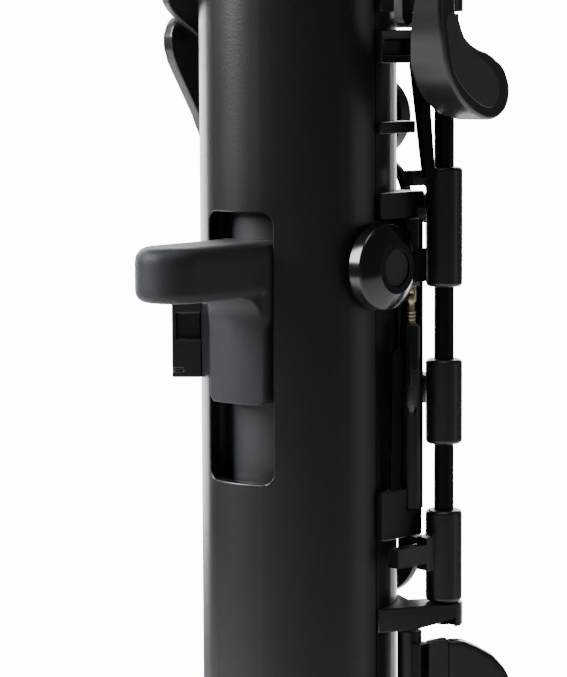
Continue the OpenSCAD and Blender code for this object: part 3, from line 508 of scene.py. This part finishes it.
def slot_rim(a, b):
    """Picks the outer edge of the thumb rest's slot, by radius, height and azimuth."""
    return all(abs(math.hypot(p.x, p.y) * 1000.0 - TUBE_RADIUS) < 0.06
               and SLOT_HEIGHTS[0] < p.z * 1000.0 < SLOT_HEIGHTS[1]
               and SLOT_TURNS[0] < math.degrees(math.atan2(p.x, -p.y)) < SLOT_TURNS[1] for p in (a, b))


moulding("front_shell", 0.16)
shell = copy_of("back_shell", "moulding")
print(round_edges(shell, 0.3, 4, slot_rim), "edges rounded along the slot")
settle(round_off(shell, 0.16), "back_shell")
for node in ("bell", "barrel"):
    moulding(node, 0.4, 3)
moulding("tone_hole_chimneys", 0.2)
moulding("bore_tube", 0.15)

# %% [markdown]
# ### Mouthpiece, reed and ligature
#
# The beak is polished resin, so its edges are crisp but still round; the reed is cut, not moulded, and
# only its arrises are broken.

# %% Mouthpiece group
moulding("mouthpiece", 0.35, 3)
moulding("reed", 0.08)
moulding("ligature", 0.15)
for node in ("ligature_screw_low", "ligature_screw_high"):
    moulding(node, 0.18)

# %% [markdown]
# ### Posts
#
# Posts are moulded with the shells, in the same plastic, with crisp but broken edges.

# %% Posts
for node in ("right_posts", "left_posts", "back_posts", "front_posts"):
    post = settle(even_normals(round_long(copy_of(node, "moulding"), 0.22)), node)
    print(post.name, len(post.data.polygons), "faces")

# %% [markdown]
# ### Keys
#
# The ring keys' sleeves end in a clear radius of 0.6 mm. Arms, rings and cups have thinner edges, so
# theirs are finer.

# %% Keys
RIGHT_OUTER = (17.5, 11.3)
SLEEVE_REACH = 2.6
for node in ("lh2_ring_key", "lh3_ring_key", "rh1_ring_key", "rh2_ring_key", "rh3_ring_key"):
    key = copy_of(node, "moulding")
    picked = round_edges(key, 0.6, 4, near_axis(RIGHT_OUTER, SLEEVE_REACH, 0.0, 500.0))
    settle(round_off(key, 0.15), node)
    print(key.name, picked, "edges rounded at the sleeve's ends")
for node in ("register_key", "thumb_ring_key", "throat_a_key", "throat_g_sharp_key", "side_key_high",
             "lower_vent_key", "sliver_touch_key", "sliver_cup_key", "f_sharp_key", "e_b_key", "f_c_key"):
    moulding(node, 0.22)

# %% [markdown]
# ### Touches
#
# The places that fingers press are rounded far more than the levers that carry them. Each of these keys
# is cut in two by a plane: the lever keeps crisp mould edges, and the touch gets an even skin whose
# edges are eased, in more rounds for a thicker touch. Each entry is a point and a normal of the plane,
# in millimetres, and the number of rounds.

# %% Touches
TOUCH_SKIN = 0.2
TOUCH = {
    "a_flat_key": ((20.4, 8.45, 210.0), (-0.659, -0.752, 0.0), 24),
    "f_sharp_lever": ((-20.0, 8.8, 300.0), (0.0, 1.0, 0.0), 16),
    "c_sharp_key": ((-18.0, 6.3, 320.0), (0.0, 1.0, 0.0), 10)}
for node, (point, normal, rounds) in TOUCH.items():
    touch = settle(melt(cut_away(copy_of(node, "touch"), point, normal), TOUCH_SKIN, rounds), node)
    lever = cut_away(copy_of(node, "lever"), point, [-v for v in normal])
    settle(round_off(lever, 0.2), node)
    print(touch.name, len(touch.data.polygons), "faces")

# %% [markdown]
# ### Paddle
#
# The low side key ends in a curved paddle with a soft inlay. Its outline is drawn as a closed curve in
# distance forwards and height, given thickness and a round edge, and set at azimuth 100. The inner face
# slopes, so a plane trims it, and a block takes away the front of it, where the posts need room. The
# lever above is the CAD key cut a little lower than the paddle's top, so that the two overlap.

# %% Paddle
PADDLE_AZ = math.radians(100.0)
PADDLE_BACK = 21.3
PADDLE_FACE = 27.36
PADDLE_EDGE = 0.6
LEVER_CUT = 315.5
OUTLINE = (
    (-7.7, 317.0), (-7.7, 313.0), (-7.7, 309.9), (-7.45, 306.2), (-6.7, 303.2), (-5.5, 300.2),
    (-3.1, 297.3), (0.0, 295.2), (3.3, 293.9), (6.7, 293.3), (9.7, 293.8), (11.7, 295.1),
    (12.5, 297.3), (11.8, 299.2), (10.5, 300.7), (8.6, 301.6), (6.4, 302.5), (3.2, 303.2),
    (0.3, 304.3), (-2.4, 306.4), (-3.4, 308.4), (-3.3, 311.0), (-1.0, 313.1), (3.0, 314.2), (3.6, 317.0))


def outward(point, reach):
    """A point given as distance forwards and height, set at the paddle's azimuth; millimetres to metres."""
    return Vector((math.sin(PADDLE_AZ) * reach + math.cos(PADDLE_AZ) * point[0],
                   -math.cos(PADDLE_AZ) * reach + math.sin(PADDLE_AZ) * point[0], point[1])) / 1000.0


def plate(name, outline, inner, outer, edge, finish):
    """A smooth outline with a thickness and round edges, set at the paddle's azimuth."""
    bpy.ops.object.select_all(action="DESELECT")
    bpy.ops.curve.primitive_bezier_circle_add(location=(0.0, 0.0, 0.0))
    line = bpy.context.active_object
    line.name = name
    bpy.ops.object.mode_set(mode="EDIT")
    bpy.ops.curve.select_all(action="SELECT")
    bpy.ops.curve.delete(type="VERT")
    bpy.ops.object.mode_set(mode="OBJECT")
    shape = line.data
    shape.dimensions = "2D"
    path = shape.splines.new("BEZIER")
    path.bezier_points.add(len(outline) - 1)
    path.use_cyclic_u = True
    for knot, (across, height) in zip(path.bezier_points, outline):
        knot.co = (across / 1000.0, height / 1000.0, 0.0)
        knot.handle_left_type = knot.handle_right_type = "AUTO"
    shape.resolution_u = 8
    shape.fill_mode = "BOTH"
    shape.bevel_depth = edge / 1000.0
    shape.bevel_resolution = 4
    shape.offset = -edge / 1000.0
    shape.extrude = ((outer - inner) / 2.0 - edge) / 1000.0
    only(line)
    bpy.ops.object.convert(target="MESH")
    piece = bpy.context.active_object
    piece.rotation_euler = (math.radians(90.0), 0.0, PADDLE_AZ)
    piece.location = outward((0.0, 0.0), (outer + inner) / 2.0)
    bpy.ops.object.transform_apply(location=True, rotation=True, scale=True)
    bpy.ops.object.mode_set(mode="EDIT")
    bpy.ops.mesh.select_all(action="SELECT")
    bpy.ops.mesh.remove_doubles(threshold=0.000002)
    bpy.ops.mesh.normals_make_consistent(inside=False)
    bpy.ops.mesh.dissolve_limited(angle_limit=math.radians(0.4))
    bpy.ops.object.mode_set(mode="OBJECT")
    piece.data.materials.clear()
    piece.data.materials.append(finish)
    return piece


paddle = plate("side_key_low_paddle", OUTLINE, PADDLE_BACK, PADDLE_FACE, PADDLE_EDGE, key_abs)
slope_low = outward((0.0, 297.6), 21.1)
slope_top = outward((0.0, 310.4), 23.45)
run = slope_top - slope_low
across = outward((1.0, 0.0), 0.0)
slope = run.cross(across).normalized()
print("the inner face's outward normal is", [round(v, 3) for v in slope])
cut_away(paddle, slope_low * 1000.0, slope)
bpy.ops.object.select_all(action="DESELECT")
bpy.ops.mesh.primitive_cube_add(size=1.0, location=outward((13.5, 303.0), 20.8),
                                rotation=(0.0, 0.0, PADDLE_AZ - math.pi / 2.0))
block = bpy.context.active_object
block.scale = (0.0036, 0.02, 0.03)
bpy.ops.object.transform_apply(location=True, rotation=True, scale=True)
only(paddle)
step = paddle.modifiers.new("step_at_the_front", "BOOLEAN")
step.operation = "DIFFERENCE"
step.object = block
bpy.ops.object.modifier_apply(modifier=step.name)
only(block)
bpy.ops.object.delete()
settle(even_normals(paddle), "side_key_low")
top_end = cut_away(copy_of("side_key_low", "lever"), (0.0, 0.0, LEVER_CUT), (0.0, 0.0, -1.0))
settle(round_off(top_end, 0.2), "side_key_low")
print(paddle.name, len(paddle.data.polygons), "faces")

# %% [markdown]
# ### Ejector marks
#
# The pins that push a moulding out of its mould leave a small round mark. Two show on the sleeves of
# the right-hand rings, each a thin ring half sunk in the sleeve.

# %% Ejector marks
MARK_TURN = math.radians(96.0)
MARK_REACH = 2.574
mark_x = (RIGHT_OUTER[0] + MARK_REACH * math.sin(MARK_TURN)) / 1000.0
mark_y = (RIGHT_OUTER[1] - MARK_REACH * math.cos(MARK_TURN)) / 1000.0
for node, height in (("rh1_ring_key", 277.8), ("rh2_ring_key", 252.3)):
    bpy.ops.object.select_all(action="DESELECT")
    bpy.ops.mesh.primitive_torus_add(major_radius=0.00036, minor_radius=0.00005, major_segments=32,
                                     minor_segments=8, location=(mark_x, mark_y, height / 1000.0),
                                     rotation=(0.0, math.pi / 2.0, MARK_TURN - math.pi / 2.0))
    mark = bpy.context.active_object
    mark.name = node + "_ejector_mark"
    bpy.ops.object.transform_apply(location=True, rotation=True, scale=True)
    bpy.ops.object.shade_smooth()
    mark.data.materials.append(key_abs)
    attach(mark, body_of_node[node])
print("two ejector marks")

# %% [markdown]
# ### Thumb rest and inlay
#
# The slide and its hook are one silicone-covered moulding, so it gets the even skin of the touches. The
# inlay is made as the paddle is, and stands a little proud of the paddle's face.

# %% Thumb rest and inlay
REST_ROUNDS = 10
rest = settle(melt(copy_of("thumb_rest", "moulding"), TOUCH_SKIN, REST_ROUNDS), "thumb_rest")
print(rest.name, len(rest.data.polygons), "faces")
INLAY = ((-6.26, 307.4), (-5.93, 305.1), (-5.44, 303.1), (-3.93, 299.9), (-0.19, 297.1), (2.6, 295.8),
         (5.08, 295.1), (7.26, 295.2), (8.82, 297.0), (8.01, 299.5), (4.93, 301.3), (0.35, 303.4),
         (-1.88, 305.5), (-3.0, 307.2), (-4.5, 308.0))
INLAY_BACK = 26.9
INLAY_FACE = 27.5
INLAY_EDGE = 0.15
inlay = plate("side_key_low_soft_inlay", INLAY, INLAY_BACK, INLAY_FACE, INLAY_EDGE, rest_silicone)
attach(inlay, body_of_node["side_key_low_inlay"])
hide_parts("side_key_low_inlay")
even_normals(inlay)
print(inlay.name, len(inlay.data.polygons), "faces")

# %% [markdown]
# ### Rods, screws, springs and pads
#
# Turned and cut metal has small chamfers. Pads are cast discs whose edges are soft.

# %% Metalwork and pads
for node in ("hinge_rods", "upper_stack_rod", "lower_stack_rod", "pivot_screws", "register_tube"):
    moulding(node, 0.08)
moulding("leaf_springs", 0.12)
for node in sorted(body_of_node):
    if node.endswith("_pad") or node == "joint_seals":
        moulding(node, 0.12)
